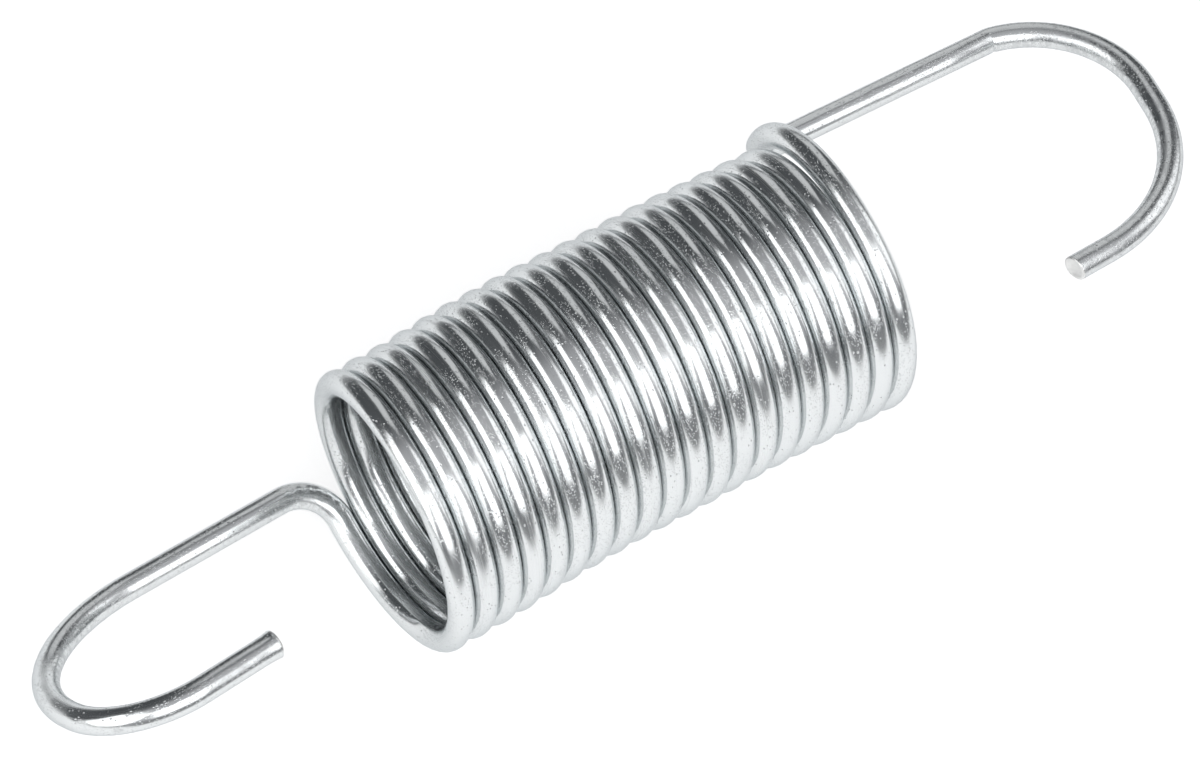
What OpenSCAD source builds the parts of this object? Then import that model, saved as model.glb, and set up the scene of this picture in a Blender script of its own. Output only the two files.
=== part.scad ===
// Extension spring: one length of round steel wire, close wound left-handed, with a long open
// hook at each end. It lies on its side, its coil along X, its lowest line on the plane z = 0.
// The wire is a chain of plain lengths: round bends (pieces of a torus) and straight runs
// (cylinders), each starting where the last one stops and pointing the way it points.

/* [Wire] */
// Diameter of the wire
wire_d = 2; // [1.6:0.05:2.4]

/* [Coil] */
// Mean diameter of the coil, from wire centre to wire centre
coil_mean_d = 20; // [16:0.5:26]
// Number of turns in the close-wound body
turns = 19.5; // [12:0.05:30]
// Gap between one turn and the next
turn_gap = 0.02; // [0.02:0.01:0.6]
// Direction in which the left end leaves the coil, seen along +X from straight down
left_end_angle = 35; // [0:1:90]

/* [Left hook] */
// Radius of the bend between the coil and the leg, at the wire's centre
left_bend_r = 3.5; // [2:0.1:5]
// Length of the straight leg
left_leg = 13; // [9:0.1:30]
// Lean of the leg towards the coil's axis
left_leg_lean = 5; // [0:0.5:8]
// Radius of the first half of the hook
left_near_r = 11.8; // [6:0.1:15]
// Angle of the first half of the hook
left_near_angle = 96; // [70:1:105]
// Straight stretch across the middle of the hook
left_flat = 0.3; // [0.2:0.1:6]
// Radius of the second half of the hook
left_far_r = 6.9; // [5:0.1:12]
// Angle of the second half of the hook
left_far_angle = 88; // [60:1:100]
// Length of the straight tip
left_tip = 6.4; // [2:0.1:8]
// Twist of the hook's plane away from the coil's axis
left_twist = 22.5; // [-30:0.5:30]

/* [Right hook] */
// Radius of the last, sprung-out piece of the coil
right_lift_r = 11.3; // [10.5:0.1:14]
// Angle of that piece
right_lift_angle = 104; // [40:1:120]
// Lean of that piece, away from the coil
right_lift_lean = 5.5; // [0:0.5:8]
// Radius of the bend between the coil and the leg, at the wire's centre
right_bend_r = 1.9; // [1.5:0.1:5]
// Length of the straight leg
right_leg = 19.4; // [9:0.1:30]
// Lean of the leg towards the coil's axis
right_leg_lean = 1.5; // [0:0.5:8]
// Radius of the tight kink where the leg meets the hook
right_kink_r = 2; // [1.5:0.1:5]
// Angle of that kink
right_kink_angle = 14; // [4:1:20]
// Radius of the first half of the hook
right_near_r = 9.1; // [6:0.1:14]
// Angle of the first half of the hook
right_near_angle = 87; // [60:1:100]
// Straight stretch across the middle of the hook
right_flat = 2; // [0.2:0.1:6]
// Radius of the second half of the hook
right_far_r = 12.5; // [6:0.1:16]
// Angle of the second half of the hook
right_far_angle = 76; // [60:1:90]
// Length of the straight tip
right_tip = 3.3; // [1:0.1:8]
// Twist of the hook's plane away from the coil's axis
right_twist = -19.5; // [-30:0.5:30]

/* [Hidden] */
$fn = 48;

// Each second length of wire is this much thinner, and runs this far into its neighbours, so
// that the lengths key into each other and make one solid.
KEY_STEP = 0.03;
KEY_RUN = 0.05;

// An odd number of bends makes the coil, so that both tips are at the wire's full thickness.
ARCS_PER_TURN = 4;
arc_count = 2 * floor(turns * ARCS_PER_TURN / 2) + 1;

pitch = wire_d + turn_gap;
coil_r = coil_mean_d / 2;
arc_turn = 360 * turns / arc_count;
arc_rise = pitch * arc_turn / 360;

// The bend that takes the wire from one point of the helix to the next: its chord, the roll
// about the wire between two bends, its sweep, its radius and its tilt.
arc_chord = norm([arc_rise, 2 * coil_r * sin(arc_turn / 2)]);
arc_roll = 2 * asin(arc_rise * sin(arc_turn / 2) / arc_chord);
arc_sweep = 2 * acos(cos(arc_turn / 2) / cos(arc_roll / 2));
arc_r = arc_chord / (2 * sin(arc_sweep / 2));
arc_tilt = asin(sin(arc_roll / 2) / sin(arc_turn / 2));
arc_shift = coil_r * cos(arc_turn / 2) - arc_r * cos(arc_sweep / 2);

// A place on the wire is a frame: +Y runs along the wire, and the next bend's centre is on -X.
function shift(v) = [[1, 0, 0, v[0]], [0, 1, 0, v[1]], [0, 0, 1, v[2]], [0, 0, 0, 1]];
function turn_x(a) = [[1, 0, 0, 0], [0, cos(a), -sin(a), 0], [0, sin(a), cos(a), 0], [0, 0, 0, 1]];
function turn_y(a) = [[cos(a), 0, sin(a), 0], [0, 1, 0, 0], [-sin(a), 0, cos(a), 0], [0, 0, 0, 1]];
function turn_z(a) = [[cos(a), -sin(a), 0, 0], [sin(a), cos(a), 0, 0], [0, 0, 1, 0], [0, 0, 0, 1]];
function column(m, i) = [m[0][i], m[1][i], m[2][i]];
function spot(m) = column(m, 3);
function shadow(m, i, v) = column(m, i) * v;

// The frame at the end of a bend of radius r, and at the end of a straight run.
function bend_end(m, r, a) = m * shift([-r, 0, 0]) * turn_z(a) * shift([r, 0, 0]);
function run_end(m, l) = m * shift([0, l, 0]);

// The same place rolled about the wire, so that the next bend heads for the direction v, and the
// sweep that brings the wire round to v.
function toward(m, v) = m * turn_y(atan2(shadow(m, 2, v), -shadow(m, 0, v)));
function sweep_to(m, v) = acos(shadow(m, 1, v));

// A length of wire is [frame at its start, bend radius, sweep]. A straight run has radius 0, and
// its length stands where the sweep would.
function length_end(p) = p[1] == 0 ? run_end(p[0], p[2]) : bend_end(p[0], p[1], p[2]);

// Lengths that follow one another, from a list of [radius, sweep or length]
function chain(m, steps, i = 0) =
    i == len(steps) ? [] :
    let(p = [m, steps[i][0], steps[i][1]])
    concat([p], chain(length_end(p), steps, i + 1));

// Frame at the start of bend number i of the coil
LEVEL = [[0, 0, -1, 0], [0, -1, 0, 0], [-1, 0, 0, 0], [0, 0, 0, 1]];
function coil_frame(i) =
    shift([(i + 0.5 - arc_count / 2) * arc_rise, 0, 0]) * turn_x(left_end_angle - (i + 0.5) * arc_turn) *
    LEVEL * shift([arc_shift, 0, 0]) * turn_x(-arc_tilt) * turn_z(-arc_sweep / 2) * shift([arc_r, 0, 0]);

coil = [for (i = [0:arc_count - 1]) [coil_frame(i), arc_r, arc_sweep]];

// The direction from a place on the wire to the coil's axis, turned by a hook's twist
function inward(m, twist) =
    let(p = spot(m), a = atan2(-p[2], -p[1]) + twist)
    [0, cos(a), sin(a)];

// A hook is a bend to the direction of its leg, the leg, and bends in one plane past the axis.
function hook(m, bend_r, along_axis, side, lean, leg, steps) =
    let(way = cos(lean) * along_axis + sin(lean) * side,
        start = toward(m, way), sweep = sweep_to(m, way),
        foot = toward(bend_end(start, bend_r, sweep), side))
    concat([[start, bend_r, sweep]], chain(foot, concat([[0, leg]], steps)));

left_start = coil[0][0] * turn_x(180);
left_hook = hook(left_start, left_bend_r, [-1, 0, 0], inward(left_start, left_twist), left_leg_lean,
    left_leg, [[left_near_r, left_near_angle], [0, left_flat], [left_far_r, left_far_angle],
               [0, left_tip]]);

right_lift = [length_end(coil[arc_count - 1]) * turn_y(-right_lift_lean), right_lift_r,
              right_lift_angle];
right_start = length_end(right_lift);
right_hook = hook(right_start, right_bend_r, [1, 0, 0], inward(right_start, right_twist),
    right_leg_lean, right_leg, [[right_kink_r, right_kink_angle], [right_near_r, right_near_angle],
                                [0, right_flat], [right_far_r, right_far_angle], [0, right_tip]]);

left_count = len(left_hook);
lengths = concat([for (i = [left_count - 1:-1:0]) left_hook[i]], coil, [right_lift], right_hook);

// Points along the ends of the wire, close enough together to find the middle of the footprint
SAMPLES = 24;
function along(p, t) = spot(length_end([p[0], p[1], p[2] * t]));
ends = concat(left_hook, [right_lift], right_hook);
centres = [for (p = ends) for (s = [0:SAMPLES]) along(p, s / SAMPLES)];
xs = [for (c = centres) c[0]];
ys = concat([for (c = centres) c[1]], [-coil_r, coil_r]);
middle = [(min(xs) + max(xs)) / 2, (min(ys) + max(ys)) / 2];

module length_of_wire(p, thin) {
    d = thin ? wire_d - KEY_STEP : wire_d;
    key = thin ? KEY_RUN : 0;
    multmatrix(p[0])
        if (p[1] == 0)
            translate([0, -key, 0])
                rotate([-90, 0, 0])
                    cylinder(d = d, h = p[2] + 2 * key);
        else
            translate([-p[1], 0, 0])
                rotate([0, 0, -key / p[1] * 180 / PI])
                    rotate_extrude(angle = p[2] + 2 * key / p[1] * 180 / PI)
                        translate([p[1], 0])
                            circle(d = d);
}

module spring() {
    color([0.75, 0.76, 0.78])
        translate([-middle[0], -middle[1], coil_r + wire_d / 2])
            for (i = [0:len(lengths) - 1])
                length_of_wire(lengths[i], i % 2 == 1);
}

spring();
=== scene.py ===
"""Looks of an extension spring: one length of bright zinc-plated wire, lying on a pale floor.

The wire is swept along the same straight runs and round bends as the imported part. Then it gets
what a real one has: a coil whose turns wander a little, cropped ends, the marks of the bending
tools, and plating with drawing lines, pits and scuffs.
"""

import logging
import math
from dataclasses import dataclass, field
from enum import Enum

import bpy
import numpy as np
from mathutils import Matrix, Vector


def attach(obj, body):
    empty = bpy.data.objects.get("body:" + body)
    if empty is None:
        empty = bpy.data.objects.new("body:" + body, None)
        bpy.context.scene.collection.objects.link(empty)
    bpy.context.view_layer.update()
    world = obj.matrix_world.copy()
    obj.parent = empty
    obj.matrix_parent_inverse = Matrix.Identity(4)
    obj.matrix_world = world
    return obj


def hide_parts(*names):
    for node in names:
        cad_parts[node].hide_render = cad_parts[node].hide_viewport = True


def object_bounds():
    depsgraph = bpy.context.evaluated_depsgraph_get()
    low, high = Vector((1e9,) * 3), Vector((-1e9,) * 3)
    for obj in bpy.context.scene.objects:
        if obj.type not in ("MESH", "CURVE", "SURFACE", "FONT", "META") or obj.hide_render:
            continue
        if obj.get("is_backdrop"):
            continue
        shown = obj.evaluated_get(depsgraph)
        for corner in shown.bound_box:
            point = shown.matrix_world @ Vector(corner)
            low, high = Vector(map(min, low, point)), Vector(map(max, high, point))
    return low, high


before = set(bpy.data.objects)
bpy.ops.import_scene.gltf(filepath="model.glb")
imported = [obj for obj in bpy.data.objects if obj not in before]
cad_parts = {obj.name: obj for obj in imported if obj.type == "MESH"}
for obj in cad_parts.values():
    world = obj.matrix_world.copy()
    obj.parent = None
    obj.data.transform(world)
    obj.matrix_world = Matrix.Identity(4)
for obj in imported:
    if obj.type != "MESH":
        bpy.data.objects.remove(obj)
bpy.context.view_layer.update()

MM = 0.001
NODE = "spring"
BODY = "root"
X_AXIS = Vector((1.0, 0.0, 0.0))

log = logging.getLogger("spring")


# ---------------------------------------------------------------- the wire's course


def turned(axis: str, degrees: float) -> Matrix:
    """A rotation matrix about one of the three axes."""
    return Matrix.Rotation(math.radians(degrees), 4, axis)


def shifted(x: float = 0.0, y: float = 0.0, z: float = 0.0) -> Matrix:
    """A translation matrix."""
    return Matrix.Translation((x, y, z))


def column(place: Matrix, index: int) -> Vector:
    """One of a place's three directions."""
    return place.col[index].to_3d()


@dataclass(frozen=True)
class Length:
    """One straight run or round bend of the wire.

    A place on the wire is a matrix: +Y runs along the wire, and the bend's centre is on -X.
    A straight run has a radius of 0.
    """

    name: str
    start: Matrix
    radius: float
    sweep: float
    run: float

    @classmethod
    def straight(cls, name: str, start: Matrix, run: float) -> "Length":
        """A straight run of that length."""
        return cls(name, start, 0.0, 0.0, run)

    @classmethod
    def bend(cls, name: str, start: Matrix, radius: float, degrees: float) -> "Length":
        """A round bend of that radius and angle."""
        return cls(name, start, radius, degrees, radius * math.radians(degrees))

    def at(self, share: float) -> Matrix:
        """The place at a share of the length, from 0 at its start to 1 at its end."""
        if not self.radius:
            return self.start @ shifted(y=share * self.run)
        back, forth = shifted(x=-self.radius), shifted(x=self.radius)
        return self.start @ back @ turned("Z", share * self.sweep) @ forth


def toward(place: Matrix, way: Vector) -> Matrix:
    """A place rolled about the wire, so that its next bend heads for a direction."""
    roll = math.atan2(column(place, 2).dot(way), -column(place, 0).dot(way))
    return place @ Matrix.Rotation(roll, 4, "Y")


def sweep_to(place: Matrix, way: Vector) -> float:
    """The angle in degrees between the wire and a direction."""
    return math.degrees(column(place, 1).angle(way))


class End(Enum):
    """The two ends of the coil, by the way that their hook points along X."""

    LEFT = -1.0
    RIGHT = 1.0


@dataclass(frozen=True)
class Hook:
    """A hook: a bend off the coil, a straight leg, and an open loop that ends in a straight tip.

    Each part of the loop has a name, a radius and an angle in degrees. A straight part has a radius
    of 0 and a length instead of the angle. leg_lean and twist are in degrees.
    """

    end: End
    bend_r: float
    leg: float
    leg_lean: float
    twist: float
    loop: tuple[tuple[str, float, float], ...]

    def lengths(self, place: Matrix) -> list[Length]:
        """The hook's lengths, from the coil outwards.

        Args:
            place: where the wire leaves the coil.

        Returns:
            The bend, the leg and the loop's bends and straight runs, in order.
        """
        name = self.end.name.lower()
        spot = place.translation
        angle = math.atan2(-spot.z, -spot.y) + math.radians(self.twist)
        side = Vector((0.0, math.cos(angle), math.sin(angle)))
        lean = math.radians(self.leg_lean)
        way = X_AXIS * self.end.value * math.cos(lean) + side * math.sin(lean)
        bend = Length.bend(f"{name}_bend", toward(place, way), self.bend_r, sweep_to(place, way))
        made = [bend, Length.straight(f"{name}_leg", toward(bend.at(1.0), side), self.leg)]
        for part, radius, amount in self.loop:
            start = made[-1].at(1.0)
            if radius:
                made.append(Length.bend(f"{name}_{part}", start, radius, amount))
            else:
                made.append(Length.straight(f"{name}_{part}", start, amount))
        return made


@dataclass(frozen=True)
class Coil:
    """The close-wound body: a left-hand helix of round bends, rolled a little from one to the next."""

    mean_r: float = 10.0 * MM
    pitch: float = 2.02 * MM
    turns: float = 19.5
    start_angle: float = 35.0
    bends_per_turn: int = 4

    @property
    def count(self) -> int:
        """The number of bends, which is odd."""
        return 2 * math.floor(self.turns * self.bends_per_turn / 2) + 1

    def lengths(self) -> list[Length]:
        """The bends of the coil, from its left end to its right end.

        Each is a flat arc with its ends on the helix. It is tilted to the pitch, and rolled about the
        wire against the one before it, so that the two meet in line.

        Returns:
            The bends, in order.
        """
        step = 360.0 * self.turns / self.count
        rise = self.pitch * step / 360.0
        half = math.radians(step / 2)
        chord = math.hypot(rise, 2 * self.mean_r * math.sin(half))
        roll = 2 * math.asin(rise * math.sin(half) / chord)
        sweep = 2 * math.acos(math.cos(half) / math.cos(roll / 2))
        radius = chord / (2 * math.sin(sweep / 2))
        tilt = math.asin(math.sin(roll / 2) / math.sin(half))
        inset = self.mean_r * math.cos(half) - radius * math.cos(sweep / 2)
        level = Matrix(((0, 0, -1, 0), (0, -1, 0, 0), (-1, 0, 0, 0), (0, 0, 0, 1)))
        foot = level @ shifted(x=inset) @ turned("X", -math.degrees(tilt))
        foot = foot @ turned("Z", -math.degrees(sweep) / 2) @ shifted(x=radius)
        made = []
        for i in range(self.count):
            along = shifted(x=(i + 0.5 - self.count / 2) * rise)
            place = along @ turned("X", self.start_angle - (i + 0.5) * step) @ foot
            made.append(Length.bend(f"coil_{i}", place, radius, math.degrees(sweep)))
        return made


LEFT_HOOK = Hook(
    end=End.LEFT, bend_r=3.5 * MM, leg=13.0 * MM, leg_lean=5.0, twist=22.5,
    loop=(
        ("near", 11.8 * MM, 96.0),
        ("flat", 0.0, 0.3 * MM),
        ("far", 6.9 * MM, 88.0),
        ("tip", 0.0, 6.4 * MM),
    ),
)
RIGHT_HOOK = Hook(
    end=End.RIGHT, bend_r=1.9 * MM, leg=19.4 * MM, leg_lean=1.5, twist=-19.5,
    loop=(
        ("kink", 2.0 * MM, 14.0),
        ("near", 9.1 * MM, 87.0),
        ("flat", 0.0, 2.0 * MM),
        ("far", 12.5 * MM, 76.0),
        ("tip", 0.0, 3.3 * MM),
    ),
)


@dataclass(frozen=True)
class Ring:
    """One ring of points: its place, how far along the wire it lies, and its length of wire."""

    place: Matrix
    along: float
    name: str
    share: float


@dataclass(frozen=True)
class Mark:
    """A dent or a flat that a tool left in the wire.

    share says where along its length it lies, and side in which direction around the wire, in
    degrees from the outside of its bend. along and across say how far it reaches, in metres and in
    degrees.
    """

    length: str
    share: float
    side: float
    along: float
    across: float
    depth: float


def tool_marks() -> list[Mark]:
    """Every mark of the bending tools, first on the left hook and then on the right one."""
    marks = []
    for i in range(6):
        marks.append(Mark("left_bend", 0.12 + 0.15 * i, 62.0 - 6.0 * (i % 2), 0.16 * MM, 24.0, 0.06 * MM))
    for share, side in ((0.30, 40.0), (0.36, 25.0), (0.52, 52.0), (0.60, 30.0)):
        marks.append(Mark("left_near", share, side, 0.35 * MM, 18.0, 0.035 * MM))
    for share, side in ((0.18, 20.0), (0.42, -15.0), (0.55, 35.0)):
        marks.append(Mark("left_far", share, side, 0.45 * MM, 16.0, 0.035 * MM))
    marks.append(Mark("right_kink", 0.45, 180.0, 0.22 * MM, 60.0, 0.09 * MM))
    marks.append(Mark("right_kink", 0.95, 150.0, 0.3 * MM, 30.0, 0.05 * MM))
    marks.append(Mark("right_bend", 0.55, 0.0, 0.8 * MM, 45.0, 0.04 * MM))
    for share, side in ((0.2, 10.0), (0.47, -20.0), (0.74, 15.0)):
        marks.append(Mark("right_near", share, side, 0.5 * MM, 20.0, 0.03 * MM))
    return marks


# how scuffed the hooks are, inside and outside their bends, by length of wire
WORN = {
    "left_bend": (0.6, 0.3),
    "left_near": (0.9, 0.1),
    "left_flat": (0.8, 0.1),
    "left_far": (0.5, 0.05),
    "right_kink": (0.7, 0.1),
    "right_near": (0.9, 0.2),
    "right_flat": (0.9, 0.4),
    "right_far": (0.7, 0.5),
    "right_tip": (0.6, 0.5),
}
UNWORN = (0.0, 0.0)


@dataclass(frozen=True)
class Cut:
    """How an end of the wire is cropped.

    edge is the radius of its rounded edge, slant the cut's angle in degrees, flare how much wider
    the end is, as a share, and hollow how deep the face is dished. A negative hollow is a dome.
    """

    edge: float
    slant: float
    flare: float
    hollow: float


@dataclass
class SpringWire:
    """The spring: a coil with a hook bent off each end, swept as one closed mesh."""

    wire_d: float = 2.0 * MM
    coil: Coil = field(default_factory=Coil)
    left_hook: Hook = LEFT_HOOK
    right_hook: Hook = RIGHT_HOOK

    # the wire between the coil and the right hook, which springs out and leans away from the coil
    lift_r: float = 11.3 * MM
    lift_angle: float = 104.0
    lift_lean: float = 5.5

    # the spots per length that find the hooks' box, the points round the wire, and the rings' steps
    box_steps: int = 24
    sides: int = 36
    coil_steps: int = 15
    bend_step: float = 0.4 * MM
    marked_step: float = 0.15 * MM
    straight_step: float = 4.0 * MM
    tip_step: float = 0.4 * MM

    # the cropped ends: how far back they change the wire, the angles at which the rounded edge has
    # its rings, and the steps inwards of the face's rings, as shares of face_share of the wire's
    # radius
    left_cut: Cut = Cut(edge=0.26 * MM, slant=2.0, flare=0.08, hollow=-0.05 * MM)
    right_cut: Cut = Cut(edge=0.16 * MM, slant=9.0, flare=0.0, hollow=0.05 * MM)
    cut_reach: float = 1.6 * MM
    edge_angles: tuple[float, ...] = (0.0, 30.0, 60.0, 90.0)
    face_share: float = 0.8
    face_rings: tuple[float, ...] = (0.18, 0.3, 0.42)

    # the angles from the outside of a bend at which its inside wear starts and is full, and how
    # scuffed a tool's mark is
    worn_from: tuple[float, float] = (100.0, 150.0)
    mark_scuff: float = 0.8

    # how far the turns lie off the coil's axis, in millimetres at even steps along it, and which way
    wander: tuple[float, ...] = (0.45, 0.32, -0.12, -0.28, -0.24, -0.3, -0.18, -0.05)
    wander_way: float = -60.0

    def __post_init__(self) -> None:
        """Works out the wire's course, placed in the part's frame."""
        coil = self.coil.lengths()
        left = self.left_hook.lengths(coil[0].start @ turned("X", 180.0))
        lift_start = coil[-1].at(1.0) @ turned("Y", -self.lift_lean)
        lift = Length.bend("right_lift", lift_start, self.lift_r, self.lift_angle)
        right = [lift, *self.right_hook.lengths(lift.at(1.0))]
        shares = [i / self.box_steps for i in range(self.box_steps + 1)]
        spots = [part.at(share).translation for part in (*left, *right) for share in shares]
        low, high = ([pick(spot[k] for spot in spots) for k in (0, 1)] for pick in (min, max))
        low[1], high[1] = min(low[1], -self.coil.mean_r), max(high[1], self.coil.mean_r)
        rest = self.coil.mean_r + self.wire_d / 2
        place = shifted(-(low[0] + high[0]) / 2, -(low[1] + high[1]) / 2, rest)
        self.course = {
            part: [Length(p.name, place @ p.start, p.radius, p.sweep, p.run) for p in lengths]
            for part, lengths in (("coil", coil), ("right", right), ("left", left))
        }

    def build(self) -> bpy.types.Object:
        """Winds the coil, bends the hooks, joins them, and gives the wire its ends and marks.

        Returns:
            The finished piece, with its place in its mesh.
        """
        piece = self._wind()
        first, last = self.course["coil"][0], self.course["coil"][-1]
        wound = self.coil_steps * self.coil.count
        length = first.run * self.coil.count
        right = self._draw_out("right", last.at(1.0), length, 1.0, self.right_cut)
        left = self._draw_out("left", first.start, 0.0, -1.0, self.left_cut)
        log.info("coil of %d rings, wire %.0f mm long in its coil", wound, length / MM)
        self._join(piece, right, left)
        return piece

    def _ring(self, name: str, place: Matrix) -> bpy.types.Object:
        """Adds a circle round the wire at a place, as a new mesh in edit mode."""
        turn = place @ turned("X", 90.0)
        bpy.ops.object.select_all(action="DESELECT")
        bpy.ops.mesh.primitive_circle_add(
            vertices=self.sides, radius=self.wire_d / 2,
            location=turn.translation, rotation=turn.to_euler(),
        )
        piece = bpy.context.active_object
        piece.name = piece.data.name = name
        bpy.ops.object.transform_apply(location=True, rotation=True, scale=True)
        bpy.ops.object.mode_set(mode="EDIT")
        bpy.ops.mesh.select_all(action="SELECT")
        return piece

    def _sweep(self, length: Length, count: int) -> None:
        """Takes the selected ring along a length, in edit mode."""
        if length.radius:
            centre = length.start @ Vector((-length.radius, 0.0, 0.0))
            bpy.ops.mesh.spin(
                steps=count, angle=math.radians(length.sweep),
                center=centre, axis=-column(length.start, 2),
            )
            return
        stride = column(length.start, 1) * (length.run / count)
        for _ in range(count):
            bpy.ops.mesh.extrude_region_move(TRANSFORM_OT_translate={"value": stride})

    def _rings(self, length: Length, count: int, along: float, way: float) -> list[Ring]:
        """The rings that a length adds, and how far along the wire each lies."""
        shares = [i / count for i in range(1, count + 1)]
        return [Ring(length.at(s), along + way * length.run * s, length.name, s) for s in shares]

    def _wind(self) -> bpy.types.Object:
        """Spins one bend of the coil and repeats it along the helix."""
        bends = self.course["coil"]
        piece = self._ring("spring_wire", bends[0].start)
        self._sweep(bends[0], self.coil_steps)
        bpy.ops.object.mode_set(mode="OBJECT")
        bpy.ops.object.empty_add()
        guide = bpy.context.active_object
        guide.matrix_world = bends[1].start @ bends[0].start.inverted()
        bpy.ops.object.select_all(action="DESELECT")
        piece.select_set(True)
        bpy.context.view_layer.objects.active = piece
        repeat = piece.modifiers.new("turns", "ARRAY")
        repeat.count = self.coil.count
        repeat.use_relative_offset = False
        repeat.use_object_offset = True
        repeat.offset_object = guide
        repeat.use_merge_vertices = True
        repeat.merge_threshold = self.wire_d / 25
        bpy.context.view_layer.update()
        bpy.ops.object.modifier_apply(modifier=repeat.name)
        bpy.data.objects.remove(guide)
        rings = [Ring(bends[0].start, 0.0, bends[0].name, 0.0)]
        for bend in bends:
            rings += self._rings(bend, self.coil_steps, rings[-1].along, 1.0)
        self._shape(piece, rings)
        return piece

    def _draw_out(
        self, part: str, place: Matrix, along: float, way: float, cut: Cut
    ) -> bpy.types.Object:
        """Bends one hook, from the coil's end to the cropped tip.

        Args:
            part: the name of the hook's list of lengths.
            place: the coil's end.
            along: how far along the wire the hook starts.
            way: 1 where the wire's length counts up, -1 where it counts down.
            cut: how the tip is cropped.

        Returns:
            The hook, open where it meets the coil.
        """
        marked = {mark.length for mark in tool_marks()}
        piece = self._ring(f"{part}_hook", place)
        rings = [Ring(place, along, self.course[part][0].name, 0.0)]
        for length in self.course[part]:
            step = self.marked_step if length.name in marked else self.bend_step
            if not length.radius:
                step = self.tip_step if length.name.endswith("tip") else self.straight_step
            count = max(1, math.ceil(length.run / step))
            self._sweep(length, count)
            rings += self._rings(length, count, rings[-1].along, way)
        self._crop(rings[-1].place, cut)
        bpy.ops.object.mode_set(mode="OBJECT")
        self._shape(piece, rings, cut)
        return piece

    def _crop(self, place: Matrix, cut: Cut) -> None:
        """Rounds the edge of the selected last ring, and closes it with a dished or domed face."""
        centre, way = place.translation, column(place, 1)
        radius = self.wire_d / 2
        turns = [math.radians(angle) for angle in self.edge_angles]
        for before, after in zip(turns, turns[1:]):
            step = math.sin(after) - math.sin(before)
            outer = radius - cut.edge * (1 - math.cos(before))
            inner = radius - cut.edge * (1 - math.cos(after))
            bpy.ops.mesh.extrude_region_move(
                TRANSFORM_OT_translate={"value": way * (cut.edge * step)}
            )
            bpy.ops.transform.resize(value=(inner / outer,) * 3, center_override=centre)
        bpy.ops.mesh.edge_face_add()
        for share in self.face_rings:
            bpy.ops.mesh.inset(
                thickness=share * radius * self.face_share, depth=-cut.hollow * (1 - share)
            )
        bpy.ops.mesh.poke()

    def _shape(self, piece: bpy.types.Object, rings: list[Ring], cut: Cut | None = None) -> None:
        """Moves the points to the wire's real form, and gives each its place along and round the wire.

        Points after the last ring belong to the cropped end.
        """
        mesh = piece.data
        count = len(mesh.vertices)
        points = np.empty(count * 3)
        mesh.vertices.foreach_get("co", points)
        points = points.reshape(-1, 3)
        owner = np.minimum(np.arange(count) // self.sides, len(rings) - 1)
        on_end = np.arange(count) >= self.sides * len(rings)
        places = np.array([[list(row) for row in ring.place] for ring in rings])[owner]
        alongs = np.array([ring.along for ring in rings])[owner]
        local = np.einsum("nij,ni->nj", places[:, :3, :3], points - places[:, :3, 3])
        side = np.degrees(np.arctan2(local[:, 2], local[:, 0]))
        names = np.array([ring.name for ring in rings])[owner]
        shares = np.array([ring.share for ring in rings])[owner]
        scuff = self._scuffs(names, alongs, side)
        if cut:
            self._set_cut(local, cut, np.abs(alongs - rings[-1].along))
            local[self.sides * (len(rings) - 1):, 1] -= cut.edge
            for mark in (m for m in tool_marks() if m.length in names):
                self._strike(mark, local, names, shares, side, scuff)
        points = np.einsum("nij,nj->ni", places[:, :3, :3], local) + places[:, :3, 3]
        points += self._wandered(points[:, 0], alongs)[:, None] * self._wander_way()
        mesh.vertices.foreach_set("co", points.ravel())
        on_wire = np.concatenate([(alongs + local[:, 1])[:, None], self._around(local, on_end)], 1)
        mesh.attributes.new("wire", "FLOAT_VECTOR", "POINT").data.foreach_set("vector", on_wire.ravel())
        for name, values in (("scuff", scuff), ("cropped", on_end.astype(float))):
            mesh.attributes.new(name, "FLOAT", "POINT").data.foreach_set("value", values)
        mesh.update()

    def _around(self, local: np.ndarray, on_end: np.ndarray) -> np.ndarray:
        """Where each point lies across the wire: on its even round, or on the cropped end's face."""
        angles = 2 * np.pi * (np.arange(len(local)) % self.sides) / self.sides
        around = np.stack([np.cos(angles), np.sin(angles)], 1) * self.wire_d / 2
        return np.where(on_end[:, None], local[:, [0, 2]], around)

    def _set_cut(self, local: np.ndarray, cut: Cut, depth: np.ndarray) -> None:
        """Flares and slants the points near the cropped end, by their depth from it."""
        ramp = np.clip(1 - depth / self.cut_reach, 0, 1) ** 2
        local[:, [0, 2]] *= (1 + cut.flare * ramp)[:, None]
        local[:, 1] -= math.tan(math.radians(cut.slant)) * ramp * (local[:, 0] + self.wire_d / 2)

    def _scuffs(self, names: np.ndarray, alongs: np.ndarray, side: np.ndarray) -> np.ndarray:
        """How scuffed each point is: the inside of each loop rubs on what the hook holds.

        The wear is set in the middle of each length, starts from nothing, and changes evenly between.
        """
        first, full = self.worn_from
        inside = np.clip((np.abs(side) - first) / (full - first), 0, 1)
        middles = [(alongs[names == name].mean(), WORN.get(name, UNWORN)) for name in set(names)]
        knots, wear = zip(*sorted([(alongs[0], UNWORN), *middles]))
        within, without = (np.interp(alongs, knots, values) for values in zip(*wear))
        return within * inside + without * (1 - inside)

    def _strike(
        self, mark: Mark, local: np.ndarray, names: np.ndarray, shares: np.ndarray,
        side: np.ndarray, scuff: np.ndarray,
    ) -> None:
        """Presses one mark into the points of its length of wire, and scuffs them."""
        length = next(p for part in self.course.values() for p in part if p.name == mark.length)
        away = (shares - mark.share) * length.run / mark.along
        turn = ((side - mark.side + 180) % 360 - 180) / mark.across
        press = np.where(names == mark.length, np.exp(-(away**2) - turn**2), 0.0)
        local[:, [0, 2]] *= (1 - press * mark.depth / (self.wire_d / 2))[:, None]
        scuff[:] = np.maximum(scuff, self.mark_scuff * press)

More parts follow.
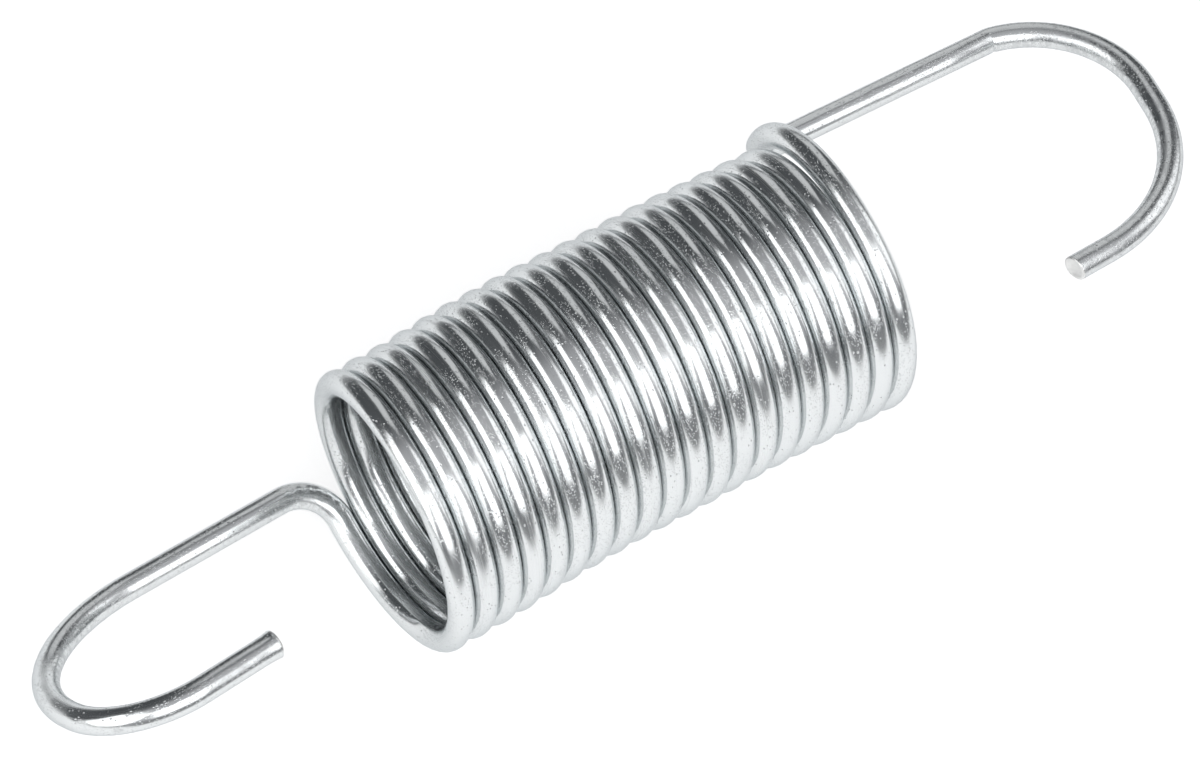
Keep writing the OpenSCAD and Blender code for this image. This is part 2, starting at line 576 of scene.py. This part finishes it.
    def _wander_way(self) -> np.ndarray:
        """The direction in which the turns wander."""
        angle = math.radians(self.wander_way)
        return np.array([0.0, math.sin(angle), -math.cos(angle)])

    def _wandered(self, x: np.ndarray, along: np.ndarray) -> np.ndarray:
        """How far points at x are moved sideways: nothing on the hooks, the full wander on the coil."""
        first, last = self.course["coil"][0], self.course["coil"][-1]
        low, high = first.start.translation.x, last.at(1.0).translation.x
        knots = np.linspace(low, high, len(self.wander))
        wound = self.coil.count * first.run
        ramp = np.clip(np.minimum(along, wound - along) / first.run, 0, 1)
        smooth = ramp * ramp * (3 - 2 * ramp)
        return np.interp(x, knots, self.wander) * MM * smooth

    def _join(self, piece: bpy.types.Object, *others: bpy.types.Object) -> None:
        """Joins the hooks to the coil as one closed mesh with smooth shading."""
        bpy.ops.object.select_all(action="DESELECT")
        for other in others:
            other.select_set(True)
        piece.select_set(True)
        bpy.context.view_layer.objects.active = piece
        bpy.ops.object.join()
        bpy.ops.object.mode_set(mode="EDIT")
        bpy.ops.mesh.select_all(action="SELECT")
        bpy.ops.mesh.remove_doubles(threshold=self.wire_d / 1000)
        bpy.ops.mesh.normals_make_consistent(inside=False)
        bpy.ops.object.mode_set(mode="OBJECT")
        bpy.ops.object.shade_smooth_by_angle(angle=math.radians(40.0))


# ---------------------------------------------------------------- finishes


class Value:
    """A number in a shader: wraps a socket, so that Python arithmetic adds Math nodes."""

    def __init__(self, shader: "Shader", socket: bpy.types.NodeSocket) -> None:
        """Wraps a socket of a shader."""
        self.shader = shader
        self.socket = socket

    def _with(self, operation: str, *values: "Value | float") -> "Value":
        """A Math node on those values."""
        node = self.shader.node("ShaderNodeMath", {"operation": operation}, dict(enumerate(values)))
        return Value(self.shader, node.outputs[0])

    def __add__(self, other: "Value | float") -> "Value":
        """The sum."""
        return self._with("ADD", self, other)

    def __sub__(self, other: "Value | float") -> "Value":
        """The difference."""
        return self._with("SUBTRACT", self, other)

    def __mul__(self, other: "Value | float") -> "Value":
        """The product."""
        return self._with("MULTIPLY", self, other)

    __radd__ = __add__
    __rmul__ = __mul__

    def larger(self, other: "Value | float") -> "Value":
        """The larger of two values."""
        return self._with("MAXIMUM", self, other)

    def ramp(self, low: float, high: float) -> "Value":
        """0 up to low, 1 from high, and a smooth rise between. High may be below low."""
        node = self.shader.node(
            "ShaderNodeMapRange", {"interpolation_type": "SMOOTHSTEP"},
            {"Value": self, "From Min": low, "From Max": high},
        )
        return Value(self.shader, node.outputs["Result"])


class Shader:
    """A material's node tree, built one node at a time."""

    def __init__(self, tree: bpy.types.NodeTree) -> None:
        """Starts on an empty tree."""
        self.tree = tree
        self.tree.nodes.clear()

    @classmethod
    def of(cls, material: bpy.types.Material) -> "Shader":
        """The shader of a material."""
        material.use_nodes = True
        return cls(material.node_tree)

    def node(self, kind: str, settings: dict | None = None, inputs: dict | None = None) -> bpy.types.Node:
        """Adds a node.

        Args:
            kind: the node's type.
            settings: its own settings, which are set first.
            inputs: a number, a colour, a Value or a socket for each input, by name or number.

        Returns:
            The node.
        """
        node = self.tree.nodes.new(kind)
        for name, value in (settings or {}).items():
            setattr(node, name, value)
        for name, value in (inputs or {}).items():
            source = value.socket if isinstance(value, Value) else value
            if isinstance(source, bpy.types.NodeSocket):
                self.tree.links.new(source, node.inputs[name])
            else:
                node.inputs[name].default_value = source
        return node

    def attribute(self, name: str) -> Value:
        """A number that the mesh carries."""
        return Value(self, self.node("ShaderNodeAttribute", {"attribute_name": name}).outputs["Fac"])

    def vector(self, name: str, scale: tuple[float, float, float]) -> bpy.types.NodeSocket:
        """A vector that the mesh carries, scaled along each axis."""
        source = self.node("ShaderNodeAttribute", {"attribute_name": name}).outputs["Vector"]
        mapped = self.node("ShaderNodeMapping", {}, {"Vector": source, "Scale": scale})
        return mapped.outputs["Vector"]

    def noise(self, vector: bpy.types.NodeSocket, detail: float, rough: float = 0.5) -> Value:
        """Noise over a vector, from 0 to 1."""
        node = self.node(
            "ShaderNodeTexNoise", {}, {"Vector": vector, "Scale": 1.0, "Detail": detail, "Roughness": rough}
        )
        return Value(self, node.outputs["Fac"])

    def mix(
        self, share: Value, first: "tuple | bpy.types.NodeSocket", second: "tuple | bpy.types.NodeSocket"
    ) -> bpy.types.NodeSocket:
        """A colour between two colours."""
        node = self.node("ShaderNodeMix", {"data_type": "RGBA"}, {0: share, 6: first, 7: second})
        return node.outputs[2]

    def bump(
        self, height: Value, depth: float, after: bpy.types.NodeSocket | None = None
    ) -> bpy.types.NodeSocket:
        """A normal bent by a height, on top of an earlier one."""
        inputs = {"Height": height, "Distance": depth, "Strength": 1.0}
        if after:
            inputs["Normal"] = after
        return self.node("ShaderNodeBump", {}, inputs).outputs["Normal"]

    def specks(self, vector: bpy.types.NodeSocket, least: float, size: float) -> Value:
        """Small round spots scattered over a vector.

        Args:
            vector: where on the surface, in cells.
            least: the share of cells that hold no spot.
            size: how far a spot reaches from its middle, in cells.

        Returns:
            1 in the middle of each spot, 0 outside.
        """
        cells = self.node("ShaderNodeTexVoronoi", {"feature": "F1"}, {"Vector": vector, "Scale": 1.0})
        chance = self.node("ShaderNodeSeparateXYZ", {}, {0: cells.outputs["Color"]}).outputs["X"]
        held = Value(self, chance).ramp(least, least + 0.02)
        return held * Value(self, cells.outputs["Distance"]).ramp(size, 0.3 * size)


@dataclass(frozen=True)
class BrightZinc:
    """Bright zinc plate on drawn wire: drawing lines along it, pits, specks and scuffs."""

    colour: tuple[float, float, float, float] = (0.73, 0.75, 0.755, 1.0)
    worn_colour: tuple[float, float, float, float] = (0.50, 0.51, 0.52, 1.0)
    cut_colour: tuple[float, float, float, float] = (0.80, 0.80, 0.79, 1.0)
    edge_tint: tuple[float, float, float, float] = (0.62, 0.64, 0.65, 1.0)

    # how rough the plate is, and what each pattern adds at its strongest
    roughness: float = 0.17
    line_rough: float = 0.10
    band_rough: float = 0.07
    pit_rough: float = 0.25
    scuff_rough: float = 0.2
    cut_rough: float = 0.34

    # how far each pattern turns the plate's colour to the worn one
    pit_tone: float = 0.8
    line_tone: float = 0.25
    scuff_tone: float = 0.5

    # how fine each pattern is, in cells per millimetre along and around the wire
    line_cells: tuple[float, float] = (0.05, 7.0)
    band_cells: tuple[float, float] = (0.12, 1.6)
    swell_cells: tuple[float, float] = (0.35, 0.55)
    speck_cells: tuple[float, float] = (9.0, 9.0)
    pit_cells: tuple[float, float] = (3.6, 4.6)
    patch_cells: tuple[float, float] = (0.28, 0.5)
    scratch_cells: tuple[float, float] = (2.6, 1.5)

    # how deep each pattern is, and how deep scratches are against it on worn and on cropped metal
    swell_depth: float = 0.05 * MM
    band_depth: float = 0.016 * MM
    line_depth: float = 0.0035 * MM
    relief_depth: float = 0.026 * MM
    worn_scratches: float = 0.7
    cut_scratches: float = 1.6

    def material(self) -> bpy.types.Material:
        """Builds the finish.

        Returns:
            The material.
        """
        material = bpy.data.materials.new("bright_zinc")
        s = Shader.of(material)
        lines = s.noise(self._cells(s, self.line_cells), 4.0, 0.6)
        bands = s.noise(self._cells(s, self.band_cells), 2.0)
        swell = s.noise(self._cells(s, self.swell_cells), 1.0)
        patches = s.noise(self._cells(s, self.patch_cells), 2.0)
        scratches = s.noise(self._cells(s, self.scratch_cells), 4.0, 0.6)
        pits = s.specks(self._cells(s, self.pit_cells), 0.80, 0.38) * patches.ramp(0.42, 0.60)
        specks = s.specks(self._cells(s, self.speck_cells), 0.56, 0.45) * patches.ramp(0.62, 0.40)
        worn = s.attribute("scuff")
        scuff = worn * scratches.ramp(0.38, 0.62)
        cropped = s.attribute("cropped")
        rough = self.roughness + self.line_rough * lines.ramp(0.45, 0.7)
        rough = rough + self.band_rough * bands.ramp(0.4, 0.75)
        rough = rough + self.pit_rough * pits + self.scuff_rough * scuff
        rough = rough.larger(self.cut_rough * cropped)
        drawn = lines.ramp(0.6, 0.75) * self.line_tone
        tone = (pits * self.pit_tone).larger(drawn).larger(scuff * self.scuff_tone)
        plate = s.mix(tone, self.colour, self.worn_colour)
        scratched = scratches * (worn * self.worn_scratches + cropped * self.cut_scratches)
        normal = s.bump(swell, self.swell_depth)
        normal = s.bump(bands, self.band_depth, normal)
        normal = s.bump(lines, self.line_depth, normal)
        normal = s.bump(specks - pits + scratched, self.relief_depth, normal)
        shader = s.node(
            "ShaderNodeBsdfPrincipled", {},
            {"Base Color": s.mix(cropped, plate, self.cut_colour), "Metallic": 1.0,
             "Roughness": rough, "Normal": normal, "Specular Tint": self.edge_tint},
        )
        s.node("ShaderNodeOutputMaterial", {}, {"Surface": shader.outputs["BSDF"]})
        return material

    @staticmethod
    def _cells(shader: Shader, per_mm: tuple[float, float]) -> bpy.types.NodeSocket:
        """The place on the wire, in cells of a pattern."""
        along, around = (count / MM for count in per_mm)
        return shader.vector("wire", (along, around, around))


@dataclass(frozen=True)
class PaleFloor:
    """A white sheet with a painted pool of light. It glows of its own, most around the spring, and its
    colour and glow fade to grey away from it; the wire mirrors this painted light and shade.

    spread scales the distance along each axis, so that the painted pool of light is longest along the coil.
    """

    # painted light: the floor's own glow and its pale middle make a pool of light round the spring, which
    # fades to a dim grey floor further off
    middle: tuple[float, float, float, float] = (0.65, 0.65, 0.65, 1.0)
    middle_painted_glow: tuple[float, float, float, float] = (0.60, 0.60, 0.60, 1.0)
    far: tuple[float, float, float, float] = (0.16, 0.16, 0.16, 1.0)
    far_painted_glow: tuple[float, float, float, float] = (0.12, 0.125, 0.13, 1.0)
    fade: tuple[float, float] = (0.084, 0.116)
    spread: tuple[float, float, float] = (0.5, 1.0, 1.0)

    def material(self) -> bpy.types.Material:
        """Builds the floor's finish: a glow and a colour that fade outwards as a painted pool of light."""
        material = bpy.data.materials.new("pale_floor")
        s = Shader.of(material)
        spot = s.node("ShaderNodeTexCoord").outputs["Object"]
        spot = s.node("ShaderNodeMapping", {}, {"Vector": spot, "Scale": self.spread}).outputs["Vector"]
        reach = s.node("ShaderNodeVectorMath", {"operation": "LENGTH"}, {0: spot}).outputs["Value"]
        share = Value(s, reach).ramp(*self.fade)
        shader = s.node(
            "ShaderNodeBsdfPrincipled", {},
            {"Base Color": s.mix(share, self.middle, self.far), "Roughness": 0.9,
             "Specular IOR Level": 0.0, "Emission Strength": 1.0,
             "Emission Color": s.mix(share, self.middle_painted_glow, self.far_painted_glow)},
        )
        s.node("ShaderNodeOutputMaterial", {}, {"Surface": shader.outputs["BSDF"]})
        return material


# ---------------------------------------------------------------- floor, lights and camera


@dataclass(frozen=True)
class Softbox:
    """A soft light that faces the spring: its direction from it, its distance, size and brightness.

    heading turns about Z from +X, and height is the angle above the floor.
    """

    name: str
    heading: float
    height: float
    distance: float
    size: tuple[float, float]
    brightness: float

    def place(self, target: Vector) -> None:
        """Adds the light, aimed at the target."""
        heading, height = math.radians(self.heading), math.radians(self.height)
        way = Vector((
            math.cos(heading) * math.cos(height), math.sin(heading) * math.cos(height), math.sin(height),
        ))
        lamp = bpy.data.lights.new(self.name, "AREA")
        lamp.shape = "RECTANGLE"
        lamp.size, lamp.size_y = self.size
        lamp.energy = self.brightness * math.pi * self.size[0] * self.size[1]
        holder = bpy.data.objects.new(self.name, lamp)
        across = Vector((-math.sin(heading), math.cos(heading), 0.0))
        turn = Matrix((across, way.cross(across), way)).transposed()
        holder.matrix_world = Matrix.LocRotScale(
            target + way * self.distance, turn.to_quaternion(), None
        )
        holder.visible_camera = False
        bpy.context.scene.collection.objects.link(holder)


@dataclass
class Studio:
    """A pale floor with a painted pool of light, soft lights and the camera."""

    # the camera: what it looks at, where from, its lens, and how far it stands aside
    target: Vector = field(default_factory=lambda: Vector((-1.203 * MM, -0.310 * MM, 11.0 * MM)))
    heading: float = 32.874
    pitch: float = 54.008
    distance: float = 317.066 * MM
    lens: float = 129.96
    aside: tuple[float, float] = (0.530 * MM, 0.092 * MM)
    sensor: float = 36.0

    # the floor, and the colours of the room
    floor_size: float = 8.0
    floor_back: float = 0.04
    behind: tuple[float, float, float, float] = (0.078, 0.083, 0.088, 1.0)
    near: tuple[float, float, float, float] = (0.16, 0.165, 0.175, 1.0)
    ceiling: tuple[float, float, float, float] = (0.50, 0.50, 0.515, 1.0)
    backdrop: tuple[float, float, float, float] = (0.85, 0.86, 0.87, 1.0)

    # parts of a direction: its height where the near colour ends and where the ceiling is full, and
    # how far back it points where the dark room ends and where the front is full
    rise: tuple[float, float] = (0.0, 0.4)
    turn: tuple[float, float] = (0.5, -0.15)
    boxes: tuple[Softbox, ...] = (
        Softbox("front_box", -93.0, 36.0, 0.75, (0.84, 0.66), 1.6),
        Softbox("left_box", -177.0, 27.0, 0.60, (0.64, 0.60), 1.7),
        Softbox("right_box", -13.0, 26.0, 0.60, (0.40, 0.50), 0.95),
        Softbox("back_card", 58.0, 32.0, 0.335, (0.17, 0.36), 0.62),
    )

    def build(self) -> None:
        """Adds the floor, the lights, the surroundings and the camera."""
        self._floor()
        self._surroundings()
        for box in self.boxes:
            box.place(self.target)
        self._camera()
        bpy.context.scene.view_settings.view_transform = "Standard"

    def _floor(self) -> None:
        """Adds the floor, which the spring's lowest turn touches. Its painted pool of light lies a little
        behind.
        """
        bpy.ops.object.select_all(action="DESELECT")
        bpy.ops.mesh.primitive_plane_add(
            size=self.floor_size, location=(0.0, self.floor_back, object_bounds()[0][2])
        )
        floor = bpy.context.active_object
        floor.name = floor.data.name = "floor"
        floor.data.materials.append(PaleFloor().material())
        floor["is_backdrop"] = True

    def _surroundings(self) -> None:
        """Sets what the wire mirrors beside the lights.

        The room is dark behind the spring and dim near the floor, under a grey ceiling. The camera
        sees it as a pale backdrop.
        """
        world = bpy.data.worlds.new("room")
        bpy.context.scene.world = world
        world.use_nodes = True
        s = Shader(world.node_tree)
        way = s.node("ShaderNodeTexCoord").outputs["Generated"]
        parts = s.node("ShaderNodeSeparateXYZ", {}, {0: way})
        ahead, above = (Value(s, parts.outputs[k]) for k in ("Y", "Z"))
        front = s.mix(above.ramp(*self.rise), self.near, self.ceiling)
        room = s.mix(ahead.ramp(*self.turn), self.behind, front)
        dim = s.node("ShaderNodeBackground", {}, {"Color": room})
        pale = s.node("ShaderNodeBackground", {}, {"Color": self.backdrop})
        seen = s.node("ShaderNodeLightPath").outputs["Is Camera Ray"]
        mix = s.node("ShaderNodeMixShader", {}, {"Fac": seen, 1: dim.outputs[0], 2: pale.outputs[0]})
        s.node("ShaderNodeOutputWorld", {}, {"Surface": mix.outputs[0]})

    def _camera(self) -> None:
        """Adds the camera, which looks down at the spring from its front left."""
        heading, pitch = math.radians(self.heading), math.radians(self.pitch)
        right = Vector((math.cos(heading), -math.sin(heading), 0.0))
        forward = Vector((
            math.sin(heading) * math.cos(pitch), math.cos(heading) * math.cos(pitch), -math.sin(pitch),
        ))
        up = right.cross(forward)
        data = bpy.data.cameras.new("camera")
        data.lens = self.lens
        data.sensor_width = self.sensor
        data.clip_start = 10.0 * MM
        camera = bpy.data.objects.new("camera", data)
        spot = self.target - right * self.aside[0] + up * self.aside[1] - forward * self.distance
        turn = Matrix((right, up, -forward)).transposed()
        camera.matrix_world = Matrix.LocRotScale(spot, turn.to_quaternion(), None)
        bpy.context.scene.collection.objects.link(camera)
        bpy.context.scene.camera = camera


def main() -> None:
    """Builds the spring and its studio."""
    logging.basicConfig(level=logging.INFO, format="%(name)s: %(message)s")
    spring = SpringWire().build()
    spring.data.materials.clear()
    spring.data.materials.append(BrightZinc().material())
    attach(spring, BODY)
    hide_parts(NODE)
    log.info("%s: %d points, %d faces", spring.name, len(spring.data.vertices), len(spring.data.polygons))
    Studio().build()


if __name__ == "__main__":
    main()
